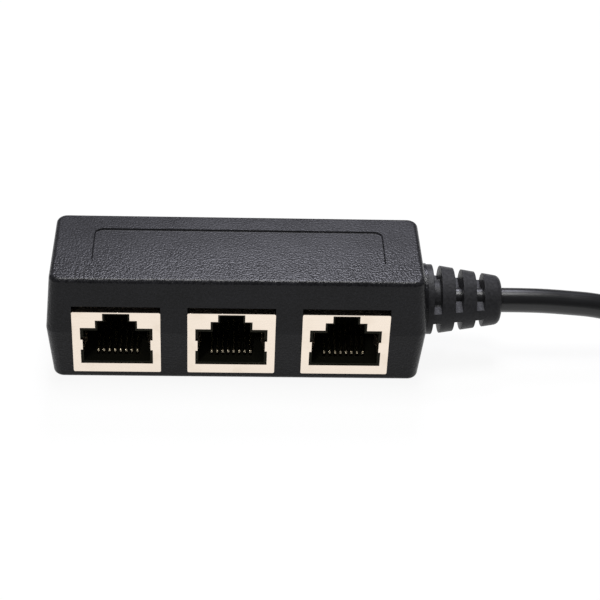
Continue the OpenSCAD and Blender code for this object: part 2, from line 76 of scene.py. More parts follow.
class Signal:
    """One output socket in a material's node tree, on which arithmetic adds Math nodes."""

    def __init__(self, mixer: "Mixer", socket: bpy.types.NodeSocket) -> None:
        """Wraps a socket.

        Args:
            mixer: The node tree that the socket belongs to.
            socket: The output socket.
        """
        self.mixer = mixer
        self.socket = socket

    def _math(self, operation: str, *values: Any) -> "Signal":
        """Adds a Math node with the given operation and inputs, and returns its output."""
        settings = {"operation": operation}
        return self.mixer.node("ShaderNodeMath", settings, dict(enumerate(values)))[0]

    def __add__(self, other: Any) -> "Signal":
        """This value plus another."""
        return self._math("ADD", self, other)

    __radd__ = __add__

    def __sub__(self, other: Any) -> "Signal":
        """This value minus another."""
        return self._math("SUBTRACT", self, other)

    def __mul__(self, other: Any) -> "Signal":
        """This value times another."""
        return self._math("MULTIPLY", self, other)

    def __truediv__(self, other: Any) -> "Signal":
        """This value divided by another."""
        return self._math("DIVIDE", self, other)

    def sine(self) -> "Signal":
        """The sine of this value, which is in radians."""
        return self._math("SINE", self)

    def cosine(self) -> "Signal":
        """The cosine of this value, which is in radians."""
        return self._math("COSINE", self)

    def fade(self, low: float, high: float) -> "Signal":
        """A smooth mask of this value: 0 at low, 1 at high and flat outside them.

        Args:
            low: The value where the mask is 0; it may be the larger one.
            high: The value where the mask is 1.

        Returns:
            The mask.
        """
        spread = {"interpolation_type": "SMOOTHSTEP", "clamp": True}
        if low <= high:
            ends = {"From Min": low, "From Max": high, "To Min": 0.0, "To Max": 1.0}
        else:
            ends = {"From Min": high, "From Max": low, "To Min": 1.0, "To Max": 0.0}
        return self.mixer.node("ShaderNodeMapRange", spread, {"Value": self, **ends})["Result"]

    def least(self, other: Any) -> "Signal":
        """The smaller of this value and another."""
        return self._math("MINIMUM", self, other)

    def most(self, other: Any) -> "Signal":
        """The larger of this value and another."""
        return self._math("MAXIMUM", self, other)


class Outputs:
    """The outputs of one node, found by name or number."""

    def __init__(self, mixer: "Mixer", node: bpy.types.Node) -> None:
        """Keeps the node and the tree that it belongs to."""
        self.mixer = mixer
        self.node = node

    def __getitem__(self, key: str | int) -> Signal:
        """The output of that name or number."""
        return Signal(self.mixer, self.node.outputs[key])


class Mixer:
    """The node tree of one material, from its coordinates to its surface."""

    def __init__(self, name: str) -> None:
        """Starts an empty material.

        Args:
            name: The material's name.
        """
        self.material = bpy.data.materials.new(name)
        self.material.use_nodes = True
        self.tree = self.material.node_tree
        self.tree.nodes.clear()

    def node(
        self,
        kind: str,
        settings: dict[str, Any] | None = None,
        inputs: dict[str | int, Any] | None = None,
    ) -> Outputs:
        """Adds one node.

        Args:
            kind: The node's type.
            settings: Its own settings, set first.
            inputs: Values or signals for its inputs, by name or number.

        Returns:
            The node's outputs.
        """
        node = self.tree.nodes.new(kind)
        for key, value in (settings or {}).items():
            setattr(node, key, value)
        for key, value in (inputs or {}).items():
            if isinstance(value, Signal):
                self.tree.links.new(value.socket, node.inputs[key])
            else:
                node.inputs[key].default_value = value
        return Outputs(self, node)

    def place(self, scale: Sequence[float] = (1.0, 1.0, 1.0)) -> Signal:
        """Object coordinates, each axis multiplied by its own factor.

        Args:
            scale: The three factors.

        Returns:
            The coordinates, in metres where a factor is 1.
        """
        coordinates = self.node("ShaderNodeTexCoord")["Object"]
        values = {"Vector": coordinates, "Scale": tuple(scale)}
        return self.node("ShaderNodeMapping", {}, values)["Vector"]

    def axes(self) -> tuple[Signal, Signal, Signal]:
        """The object coordinates, one axis at a time.

        Returns:
            X, Y and Z in metres.
        """
        coordinates = self.node("ShaderNodeTexCoord")["Object"]
        split = self.node("ShaderNodeSeparateXYZ", {}, {0: coordinates})
        return split["X"], split["Y"], split["Z"]

    def noise(
        self, where: Signal, grain: float, detail: float = 3.0, roughness: float = 0.55
    ) -> Signal:
        """Cloud noise from 0 to 1 whose spots are about one grain across.

        Args:
            where: The coordinates, in metres.
            grain: The size of a spot, in metres.
            detail: Number of finer layers.
            roughness: How strong the finer layers are.

        Returns:
            The noise.
        """
        values = {"Vector": where, "Scale": 1 / grain, "Detail": detail, "Roughness": roughness}
        return self.node("ShaderNodeTexNoise", {}, values)["Fac"]

    def cells(self, where: Signal, pitch: float) -> Signal:
        """Distance from the nearest point of a scatter with about one point for each pitch."""
        values = {"Vector": where, "Scale": 1 / pitch}
        return self.node("ShaderNodeTexVoronoi", {}, values)["Distance"]

    def blend(self, share: Signal | float, first: Any, second: Any) -> Signal:
        """Two colours mixed by a share: the first at 0, the second at 1."""
        settings = {"data_type": "RGBA", "blend_type": "MIX", "clamp_factor": True}
        return self.node("ShaderNodeMix", settings, {0: share, 6: first, 7: second})[2]

    def bump(
        self, height: Signal, depth: float, strength: float = 1.0, below: Signal | None = None
    ) -> Signal:
        """A normal bent by a height.

        Args:
            height: The height, from 0 to 1.
            depth: What a height of 1 measures, in metres.
            strength: How much of the bend is used.
            below: Another bend that this one is laid on.

        Returns:
            The bent normal.
        """
        values: dict[str | int, Any] = {"Height": height, "Distance": depth, "Strength": strength}
        if below is not None:
            values["Normal"] = below
        return self.node("ShaderNodeBump", {}, values)["Normal"]

    def surface(self, **inputs: Any) -> bpy.types.Material:
        """Ends the tree in one Principled surface.

        Args:
            inputs: The surface's inputs, with an underscore for each space in a name.

        Returns:
            The finished material.
        """
        named = {key.replace("_", " "): value for key, value in inputs.items()}
        shader = self.node("ShaderNodeBsdfPrincipled", {}, named)["BSDF"]
        self.node("ShaderNodeOutputMaterial", {}, {"Surface": shader})
        return self.material


Colour = tuple[float, float, float]


def opaque(colour: Colour) -> tuple[float, float, float, float]:
    """A colour with full cover.

    Args:
        colour: Red, green and blue.

    Returns:
        The three, and an alpha of 1.
    """
    return (*colour, 1.0)


# Finishes


@dataclass(frozen=True)
class SparkTexture:
    """Matt plastic moulded in a spark-eroded tool: fine grain, faint clouds and a few dust specks.

    Where coarse is given, the grain has the shallow share of its depth at the first Y in it and its
    full depth at the second Y.
    """

    name: str
    colour: Colour
    pale: Colour
    grain: float = 0.3 * MM
    depth: float = 0.03 * MM
    roughness: float = 0.5
    specular: float = 0.3
    coarse: tuple[float, float] | None = None
    shallow: float = 0.3
    cloud: float = 9 * MM
    speck_pitch: float = 1.1 * MM
    speck_patch: float = 2.2 * MM

    def material(self) -> bpy.types.Material:
        """The finish as a material.

        Returns:
            The material.
        """
        mix = Mixer(self.name)
        where = mix.place()
        grain = mix.noise(where, self.grain, 1.0, 0.5)
        clouds = mix.noise(where, self.cloud, 2.0, 0.5)
        patches = mix.noise(where, self.speck_patch, 1.0).fade(0.6, 0.7)
        specks = mix.cells(where, self.speck_pitch).fade(0.16, 0.06) * patches
        tone = grain.fade(0.3, 0.75) * 0.6 + clouds.fade(0.3, 0.7) * 0.25 + specks * 0.5
        height = grain + specks * 0.4
        if self.coarse is not None:
            deep = mix.axes()[1].fade(*self.coarse)
            height = height * (deep * (1 - self.shallow) + self.shallow)
        return mix.surface(
            Base_Color=mix.blend(tone.least(1.0), opaque(self.colour), opaque(self.pale)),
            Roughness=self.roughness + (grain - 0.5) * 0.16 + (clouds - 0.5) * 0.1,
            Specular_IOR_Level=self.specular,
            Normal=mix.bump(height, self.depth),
        )


@dataclass(frozen=True)
class TinPlate:
    """Warm tin-plated sheet with fine rolling lines, faint stains and small dents."""

    name: str = "tin_plate"
    colour: Colour = (0.96, 0.845, 0.725)
    stain: Colour = (0.78, 0.66, 0.52)
    roughness: float = 0.3
    line: float = 0.12 * MM
    cloud: float = 3.5 * MM
    dent: float = 1.6 * MM
    pit_pitch: float = 0.7 * MM

    def material(self) -> bpy.types.Material:
        """The finish as a material.

        Returns:
            The material.
        """
        mix = Mixer(self.name)
        lines = mix.noise(mix.place((0.05, 1.0, 1.0)), self.line, 2.0)
        where = mix.place()
        clouds = mix.noise(where, self.cloud, 3.0)
        dents = mix.noise(where, self.dent, 1.0)
        pits = mix.cells(where, self.pit_pitch).fade(0.14, 0.04) * clouds.fade(0.5, 0.65)
        tone = clouds.fade(0.5, 0.8) * 0.35 + pits * 0.5 + lines.fade(0.55, 0.8) * 0.12
        bend = mix.bump(dents, 0.05 * MM, 0.35)
        wear = (lines - 0.5) * 0.16 + (clouds - 0.5) * 0.12 + pits * 0.2
        return mix.surface(
            Base_Color=mix.blend(tone.least(1.0), opaque(self.colour), opaque(self.stain)),
            Metallic=1.0,
            Roughness=self.roughness + wear,
            Normal=mix.bump(lines - pits, 0.006 * MM, 0.8, bend),
        )


@dataclass(frozen=True)
class GoldPlate:
    """Gold-plated contact metal with drawing lines and a slightly duller wiped zone."""

    name: str = "gold_plate"
    colour: Colour = (0.88, 0.76, 0.54)
    worn: Colour = (0.78, 0.7, 0.58)
    roughness: float = 0.17
    line: float = 0.06 * MM
    wipe: float = 1.3 * MM

    def material(self) -> bpy.types.Material:
        """The finish as a material.

        Returns:
            The material.
        """
        mix = Mixer(self.name)
        lines = mix.noise(mix.place((1.0, 0.08, 0.08)), self.line, 2.0)
        wiped = mix.noise(mix.place(), self.wipe, 2.0)
        tone = wiped.fade(0.45, 0.75) * 0.6
        return mix.surface(
            Base_Color=mix.blend(tone, opaque(self.colour), opaque(self.worn)),
            Metallic=1.0,
            Roughness=self.roughness + (lines - 0.5) * 0.14 + wiped * 0.08,
            Normal=mix.bump(lines, 0.004 * MM),
        )


@dataclass(frozen=True)
class Jacket:
    """Extruded glossy jacket: drawn lines along its length and slow swells, both from its own map.

    The map's U runs round the jacket from 0 to 1 and its V along it in metres. A line's spots are
    one lay long, and there are swell_rate steps of the swells' noise in a metre.
    """

    name: str
    colour: Colour
    pale: Colour
    roughness: float = 0.2
    lay: float = 0.09
    swell_rate: float = 260.0
    dust_pitch: float = 1.6 * MM

    def material(self) -> bpy.types.Material:
        """The finish as a material.

        Returns:
            The material.
        """
        mix = Mixer(self.name)
        chart = mix.node("ShaderNodeUVMap", {"uv_map": "along"})["UV"]
        split = mix.node("ShaderNodeSeparateXYZ", {}, {0: chart})
        turn = split["X"] * math.tau
        ring = {"X": turn.cosine(), "Y": turn.sine()}
        drawn, swollen = (
            mix.node("ShaderNodeCombineXYZ", {}, {**ring, "Z": along})["Vector"]
            for along in (split["Y"] / self.lay, split["Y"] * self.swell_rate)
        )
        lines = mix.noise(drawn, 0.16, 3.0)
        swells = mix.noise(swollen, 1.4, 2.0)
        dust = mix.cells(mix.place(), self.dust_pitch).fade(0.1, 0.03)
        tone = (lines.fade(0.45, 0.8) * 0.4 + dust * 0.5).least(1.0)
        bend = mix.bump(swells, 0.09 * MM, 0.5)
        return mix.surface(
            Base_Color=mix.blend(tone, opaque(self.colour), opaque(self.pale)),
            Roughness=self.roughness + (lines - 0.5) * 0.12 + swells * 0.06 + dust * 0.2,
            Normal=mix.bump(lines, 0.012 * MM, 0.6, bend),
        )


@dataclass(frozen=True)
class SolderMask:
    """Green lacquer over copper tracks, with a woven glass texture under it."""

    name: str = "solder_mask"
    colour: Colour = (0.012, 0.075, 0.03)
    track: Colour = (0.03, 0.15, 0.06)
    track_pitch: float = 1.5 * MM
    weave_pitch: float = 0.5 * MM

    def material(self) -> bpy.types.Material:
        """The finish as a material.

        Returns:
            The material.
        """
        mix = Mixer(self.name)
        x, y, _ = mix.axes()
        drift = mix.noise(mix.place((1.0, 0.15, 1.0)), 7 * MM, 1.0) * 3 * MM
        tracks = ((y + drift) * (math.tau / self.track_pitch)).sine().fade(0.1, 0.5)
        thread = math.tau / self.weave_pitch
        weave = (x * thread).sine() * (y * thread).sine()
        return mix.surface(
            Base_Color=mix.blend(tracks * 0.8, opaque(self.colour), opaque(self.track)),
            Roughness=0.24 + weave * 0.03 + tracks * 0.05,
            Normal=mix.bump(tracks + weave * 0.12, 0.03 * MM, 0.7),
            Coat_Weight=0.3,
        )


@dataclass(frozen=True)
class ClearPolycarbonate:
    """Clear moulded plastic with flow lines and small bubbles."""

    name: str = "clear_polycarbonate"
    colour: Colour = (0.9, 0.95, 0.97)
    bubble: Colour = (0.7, 0.76, 0.8)
    bubble_pitch: float = 1.8 * MM
    flow: float = 2.2 * MM

    def material(self) -> bpy.types.Material:
        """The finish as a material.

        Returns:
            The material.
        """
        mix = Mixer(self.name)
        flow = mix.noise(mix.place((0.3, 1.0, 1.0)), self.flow, 2.0)
        bubbles = mix.cells(mix.place(), self.bubble_pitch).fade(0.09, 0.04)
        return mix.surface(
            Base_Color=mix.blend(bubbles * 0.4, opaque(self.colour), opaque(self.bubble)),
            Roughness=0.06 + flow * 0.08 + bubbles * 0.2,
            Transmission_Weight=0.92,
            IOR=1.58,
            Normal=mix.bump(flow + bubbles * 0.4, 0.05 * MM, 0.4),
        )


class CorePair(Enum):
    """Colours of the four pairs of cores, by the pair's number."""

    BLUE = (1, (0.02, 0.07, 0.42))
    ORANGE = (2, (0.72, 0.2, 0.02))
    GREEN = (3, (0.02, 0.22, 0.06))
    BROWN = (4, (0.14, 0.055, 0.025))

    @property
    def number(self) -> int:
        """The pair's number."""
        return self.value[0]

    @property
    def tint(self) -> Colour:
        """The pair's colour."""
        return self.value[1]


@dataclass(frozen=True)
class CoreSkin:
    """Core insulation in a pair's colour, with a pale stripe that winds round it."""

    pair: CorePair
    stripe: Colour = (0.75, 0.74, 0.7)
    stripe_pitch: float = 4.5 * MM

    def material(self) -> bpy.types.Material:
        """The finish as a material.

        Returns:
            The material.
        """
        mix = Mixer(f"core_{self.pair.name.lower()}")
        x, y, z = mix.axes()
        wound = (x + y * 2.0 + z) * (math.tau / self.stripe_pitch)
        stripe = wound.sine().fade(0.55, 0.7)
        grain = mix.noise(mix.place(), 0.25 * MM, 2.0)
        return mix.surface(
            Base_Color=mix.blend(stripe * 0.85, opaque(self.pair.tint), opaque(self.stripe)),
            Roughness=0.34 + (grain - 0.5) * 0.14,
            Normal=mix.bump(grain, 0.01 * MM, 0.6),
        )


HOUSING_SKIN = SparkTexture(
    "housing_texture",
    colour=(0.008, 0.008, 0.009),
    pale=(0.024, 0.024, 0.028),
    grain=0.38 * MM,
    depth=0.085 * MM,
    roughness=0.28,
    specular=0.17,
    coarse=(6 * MM, -10 * MM),
)
RELIEF_SKIN = SparkTexture(
    "relief_texture",
    colour=(0.022, 0.022, 0.024),
    pale=(0.04, 0.04, 0.043),
    grain=0.5 * MM,
    depth=0.04 * MM,
    roughness=0.42,
    specular=0.14,
)
# The inner mould's grain and specks are its own. Its colours are paler than the housing's black:
# painted light that lightens the shaded gap above the shields.
INNER_SKIN_PAINTED_LIGHT = SparkTexture(
    "inner_texture",
    colour=(0.03, 0.03, 0.026),
    pale=(0.08, 0.08, 0.07),
    grain=0.4 * MM,
    depth=0.05 * MM,
    roughness=0.45,
)
INSULATOR_SKIN = SparkTexture(
    "insulator_texture",
    colour=(0.02, 0.02, 0.014),
    pale=(0.034, 0.033, 0.024),
    grain=0.25 * MM,
    depth=0.012 * MM,
    roughness=0.4,
    specular=0.04,
)
SOLDER = TinPlate("solder", colour=(0.7, 0.71, 0.72), stain=(0.5, 0.5, 0.5), roughness=0.24)
CORD_SKIN = Jacket(
    "cord_jacket", colour=(0.006, 0.006, 0.007), pale=(0.014, 0.014, 0.017), roughness=0.27
)



# Meshes


def put_mesh(
    name: str,
    vertices: np.ndarray,
    faces: Sequence[Sequence[int]],
    material: bpy.types.Material,
    chart: np.ndarray | None = None,
) -> bpy.types.Object:
    """Makes one object at the origin from vertices and faces.

    Args:
        name: The object's name.
        vertices: Its corners, one row of X, Y and Z each.
        faces: The corner numbers of each face, counter-clockwise from outside.
        material: Its material.
        chart: U and V of each vertex, or nothing.

    Returns:
        The object.
    """
    mesh = bpy.data.meshes.new(name)
    mesh.from_pydata(vertices.tolist(), [], [list(map(int, face)) for face in faces])
    mesh.materials.append(material)
    if chart is not None:
        layer = mesh.uv_layers.new(name="along")
        corners = np.zeros(len(mesh.loops), np.int32)
        mesh.loops.foreach_get("vertex_index", corners)
        layer.data.foreach_set("uv", chart[corners].astype(np.float32).ravel())
    mesh.validate()
    piece = bpy.data.objects.new(name, mesh)
    bpy.context.scene.collection.objects.link(piece)
    shade(piece)
    return piece


def shade(piece: bpy.types.Object) -> None:
    """Shades a piece smooth, with sharp edges where its faces meet at more than the fold angle.

    Args:
        piece: The piece.
    """
    mesh = piece.data
    mesh.polygons.foreach_set("use_smooth", np.ones(len(mesh.polygons), bool))
    mesh.set_sharp_from_angle(angle=FOLD_ANGLE)


def catmull(points: np.ndarray, step: float) -> np.ndarray:
    """A smooth line through points, as cubic Hermite spans over the chord length.

    Args:
        points: The points, one row each.
        step: Distance between two points of the result, in metres.

    Returns:
        Points along the line: each is the cubic that has the two nearest points and their slopes.
    """
    chord = np.concatenate([[0.0], np.cumsum(np.linalg.norm(np.diff(points, axis=0), axis=1))])
    slopes = np.gradient(points, chord, axis=0)
    at = np.linspace(0.0, chord[-1], int(chord[-1] / step) + 1)
    span = np.clip(np.searchsorted(chord, at, side="right") - 1, 0, len(points) - 2)
    size = (chord[span + 1] - chord[span])[:, None]
    t = ((at - chord[span])[:, None]) / size
    return (
        (2 * t**3 - 3 * t**2 + 1) * points[span]
        + (t**3 - 2 * t**2 + t) * size * slopes[span]
        + (3 * t**2 - 2 * t**3) * points[span + 1]
        + (t**3 - t**2) * size * slopes[span + 1]
    )


def filleted(points: np.ndarray, radius: float, steps: int = 8) -> np.ndarray:
    """A line whose inner corners are arcs of one radius.

    Args:
        points: Its corners, one row each.
        radius: Radius of the arcs.
        steps: Number of pieces in each arc.

    Returns:
        The line's points. Each arc turns the radius from one leg's normal to the other's.
    """
    back = points[:-2] - points[1:-1]
    on = points[2:] - points[1:-1]
    back /= np.linalg.norm(back, axis=1, keepdims=True)
    on /= np.linalg.norm(on, axis=1, keepdims=True)
    half = np.arccos(np.clip((back * on).sum(1), -1, 1))[:, None] / 2
    middle = back + on
    middle /= np.linalg.norm(middle, axis=1, keepdims=True)
    centre = points[1:-1] + middle * radius / np.sin(half)
    start = points[1:-1] + back * radius / np.tan(half) - centre
    end = points[1:-1] + on * radius / np.tan(half) - centre
    turn = (np.pi - 2 * half)[:, None]
    share = np.linspace(0, 1, steps + 1)[None, :, None]
    legs = np.sin(turn * (1 - share)) * start[:, None] + np.sin(turn * share) * end[:, None]
    arcs = centre[:, None] + legs / np.sin(turn)
    return np.vstack([points[:1], arcs.reshape(-1, points.shape[1]), points[-1:]])


def tube_faces(rings: int, sides: int) -> list[list[int]]:
    """Faces of a skin of rings that share a number of sides, with both ends closed.

    Args:
        rings: Number of rings.
        sides: Number of points in each.

    Returns:
        Four-cornered faces between neighbouring rings, and one face on each end.
    """
    ring, side = np.meshgrid(np.arange(rings - 1), np.arange(sides), indexing="ij")
    a = ring * sides + side
    b = ring * sides + (side + 1) % sides
    quads = np.stack([a, b, b + sides, a + sides], -1).reshape(-1, 4).tolist()
    return quads + [list(range(sides - 1, -1, -1)), list(range((rings - 1) * sides, rings * sides))]


def carried(
    path: np.ndarray, profile: np.ndarray, level: Sequence[float], size: np.ndarray | None = None
) -> tuple[np.ndarray, np.ndarray]:
    """Carries a profile along a path.

    Args:
        path: The path's points, one row each.
        profile: The profile's points: the first column along the side, the second along the up
            direction.
        level: The direction that the side stays square to.
        size: Factor on the profile at each point of the path, or nothing.

    Returns:
        The vertices, and U and V of each. The side is the path's direction crossed with level, the
        up direction is the side crossed with the path's direction, and a vertex is the path's point
        plus the profile's two numbers along them.
    """
    heading = np.gradient(path, axis=0)
    heading /= np.linalg.norm(heading, axis=1, keepdims=True)
    side = np.cross(heading, np.array(level, float))
    side /= np.linalg.norm(side, axis=1, keepdims=True)
    up = np.cross(side, heading)
    factor = np.ones(len(path)) if size is None else size
    across = profile[None, :, :1] * side[:, None] + profile[None, :, 1:] * up[:, None]
    vertices = path[:, None] + across * factor[:, None, None]
    run = np.concatenate([[0.0], np.cumsum(np.linalg.norm(np.diff(path, axis=0), axis=1))])
    turn = np.arange(len(profile)) / len(profile)
    chart = np.stack(np.broadcast_arrays(turn[None, :], run[:, None]), -1)
    return vertices.reshape(-1, 3), chart.reshape(-1, 2)


def circle(radius: float, sides: int) -> np.ndarray:
    """Points of a circle: the radius times cosine and sine of equal turns.

    Args:
        radius: Its radius.
        sides: Number of points.

    Returns:
        The points, counter-clockwise from the right side.
    """
    turn = np.arange(sides) * math.tau / sides
    return radius * np.stack([np.cos(turn), np.sin(turn)], -1)


def soft_rectangle(width: float, height: float, radius: float, steps: int = 3) -> np.ndarray:
    """Points of a rectangle with round corners, counter-clockwise from the right side.

    Args:
        width: Its size along the first axis.
        height: Its size along the second axis.
        radius: Radius of its corners.
        steps: Number of pieces in each corner.

    Returns:
        The points: quarter circles of the radius about four centres set in by the radius.
    """
    turn = np.linspace(0, math.pi / 2, steps + 1)[None, :] + np.arange(4)[:, None] * math.pi / 2
    signs = np.array([[1, 1], [-1, 1], [-1, -1], [1, -1]], float)
    centres = signs * np.array([width / 2 - radius, height / 2 - radius])
    points = centres[:, None] + radius * np.stack([np.cos(turn), np.sin(turn)], -1)
    return points.reshape(-1, 2)


def round_ends(count: int, reach: int, least: float = 0.55) -> np.ndarray:
    """Factors that narrow both ends of a carried profile along a quarter circle.

    Args:
        count: Number of points in the path.
        reach: Number of points at each end over which it narrows.
        least: The factor at the very end.

    Returns:
        A factor for each point: the least one, plus the rest of 1 times the quarter circle's height
        at the point's share of the reach.
    """
    share = np.clip(np.minimum(np.arange(count), np.arange(count)[::-1]) / reach, 0, 1)
    return least + (1 - least) * np.sqrt(1 - (1 - share) ** 2)


def refine(
    node: str, name: str, material: bpy.types.Material, bevel: float, rounds: int = 2
) -> bpy.types.Object:
    """A joined copy of a solid's mesh with its sharp edges rounded, standing for that solid.

    Args:
        node: The solid's name.
        name: The copy's name.
        material: The copy's material.
        bevel: Width of the rounding, in metres.
        rounds: Number of pieces in a rounding.

    Returns:
        The copy, which replaces the solid.
    """
    piece = bpy.data.objects.new(name, bpy.data.objects[node].data.copy())
    bpy.context.scene.collection.objects.link(piece)
    mesh = bmesh.new()
    mesh.from_mesh(piece.data)
    bmesh.ops.remove_doubles(mesh, verts=mesh.verts, dist=WELD)
    bmesh.ops.dissolve_limit(mesh, angle_limit=FLAT_ANGLE, verts=mesh.verts, edges=mesh.edges)
    bmesh.ops.triangulate(mesh, faces=mesh.faces)
    mesh.to_mesh(piece.data)
    mesh.free()
    piece.data.materials.clear()
    piece.data.materials.append(material)
    if "custom_normal" in piece.data.attributes:
        piece.data.attributes.remove(piece.data.attributes["custom_normal"])
    shade(piece)
    rounding = piece.modifiers.new("rounded_edges", "BEVEL")
    rounding.width = bevel
    rounding.segments = rounds
    rounding.limit_method = "ANGLE"
    rounding.angle_limit = SHARP_ANGLE
    rounding.harden_normals = False
    rounding.use_clamp_overlap = True
    even = piece.modifiers.new("even_shading", "WEIGHTED_NORMAL")
    even.keep_sharp = True
    even.weight = EVEN_WEIGHT
    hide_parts(node)
    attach(piece, BODY)
    return piece


def paint(node: str, material: bpy.types.Material) -> None:
    """Gives a solid of the frame its material.

    Args:
        node: The solid's name.
        material: The material.
    """
    solid = bpy.data.objects[node]
    solid.data.materials.clear()
    solid.data.materials.append(material)


# Sub-assemblies


@dataclass
class Camera:
    """The camera, at the photograph's place and angle."""

    lens: float = 102.63
    sensor: float = 36.0
    place: tuple[float, float, float] = (-3.109 * MM, -257.62 * MM, 198.61 * MM)
    yaw: float = 3.296
    pitch: float = 36.102
    roll: float = 2.640

    def build(self) -> bpy.types.Object:
        """Makes the camera.

        Returns:
            The camera. It looks along yaw and pitch and is then rolled about that line.
        """
        yaw, pitch, roll = (math.radians(angle) for angle in (self.yaw, self.pitch, self.roll))
        level = math.cos(pitch)
        ahead = Vector((math.sin(yaw) * level, math.cos(yaw) * level, -math.sin(pitch)))
        right = Vector((math.cos(yaw), -math.sin(yaw), 0.0))
        up = right.cross(ahead)
        rolled_right = math.cos(roll) * right + math.sin(roll) * up
        rolled_up = math.cos(roll) * up - math.sin(roll) * right
        data = bpy.data.cameras.new("camera")
        data.lens = self.lens
        data.sensor_width = self.sensor
        data.clip_start = 0.01
        data.clip_end = 20.0
        camera = bpy.data.objects.new("camera", data)
        bpy.context.scene.collection.objects.link(camera)
        turn = Matrix((rolled_right, rolled_up, -ahead)).transposed()
        camera.matrix_world = Matrix.Translation(self.place) @ turn.to_4x4()
        bpy.context.scene.camera = camera
        return camera


@dataclass
class Cord:
    """The round cord from inside the housing to the plug."""

    diameter: float = 4.6 * MM
    sides: int = 40
    step: float = 0.8 * MM
    exit: tuple[float, float, float] = (49.05 * MM, 0.0, 11 * MM)
    start_x: float = 30.5 * MM
    plug_axis: float = 3.6 * MM
    falling: tuple[tuple[float, float, float], ...] = (
        (0, 0, 1), (5.5, 0, 1), (11.5, 0, 1), (18.5, 0, 1), (22.5, 0, 1), (26.5, 0, 0.99),
        (31.5, 0, 0.95), (36.5, 0, 0.89), (41.5, 0, 0.76), (46.5, 0, 0.59), (51.5, 0, 0.38),
        (56.5, 0, 0.18), (61.5, 0, 0.06), (66.5, 0, 0.01), (72.5, 0, 0), (79.5, 0, 0),
        (86.5, 0, 0), (93.5, 0, 0), (100.5, 0, 0),
    )  # fmt: skip
    returning: tuple[tuple[float, float, float], ...] = (
        (106.6, 1.2, 0), (111.8, 4.7, 0), (115.3, 9.9, 0.1), (116.5, 16, 0.2),
        (115.3, 22.1, 0.3), (111.8, 27.3, 0.45), (106.6, 30.8, 0.6), (100.5, 32, 0.75),
        (95.5, 32, 0.9), (90.5, 32, 1), (83.5, 32, 1), (76.5, 32, 1), (69.5, 32, 1),
    )  # fmt: skip

    def route(self) -> np.ndarray:
        """The route's points.

        Returns:
            The points. X is counted from the jacket's end inside the body, and the third number of
            each point is a share of the rise from the table to the exit, or to the plug's axis.
        """
        rest = self.diameter / 2
        spans = []
        for points, top in ((self.falling, self.exit[2]), (self.returning, self.plug_axis)):
            x, y, share = np.array(points, float).T
            height = rest + share * (top - rest)
            spans.append(np.column_stack([self.start_x + x * MM, y * MM, height]))
        return np.vstack(spans)

    def line(self) -> np.ndarray:
        """Points close together on the smooth line through the route's points."""
        return catmull(self.route(), self.step)

    def build(self) -> bpy.types.Object:
        """Makes the jacket: a circle carried along the cord's line.

        Returns:
            The jacket.
        """
        line = self.line()
        size = round_ends(len(line), 2, 0.9)
        vertices, chart = carried(line, circle(self.diameter / 2, self.sides), (0, 0, 1), size)
        faces = tube_faces(len(line), self.sides)
        jacket = put_mesh("cord_jacket", vertices, faces, CORD_SKIN.material(), chart)
        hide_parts("cord")
        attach(jacket, BODY)
        return jacket

    def declare(self) -> None:
        """Works out points along the cord's line, every third one and the last; nothing is done
        with them.
        """
        line = self.line()
        line[::3].tolist() + [line[-1].tolist()]


@dataclass
class Housing:
    """The moulded body, its strain relief and the block inside it."""

    edge: float = 0.18 * MM
    relief_edge: float = 0.22 * MM

    def build(self) -> list[bpy.types.Object]:
        """Makes the body and the strain relief with rounded edges, and finishes the inner block.

        Returns:
            The new pieces.
        """
        body = refine("housing", "housing_shell", HOUSING_SKIN.material(), self.edge, 3)
        skin = RELIEF_SKIN.material()
        relief = refine("strain_relief", "strain_relief_sleeve", skin, self.relief_edge, 3)
        # The inner mould gets the paler colours, painted light in the shaded gap above the shields.
        paint("inner_mould", INNER_SKIN_PAINTED_LIGHT.material())
        return [body, relief]


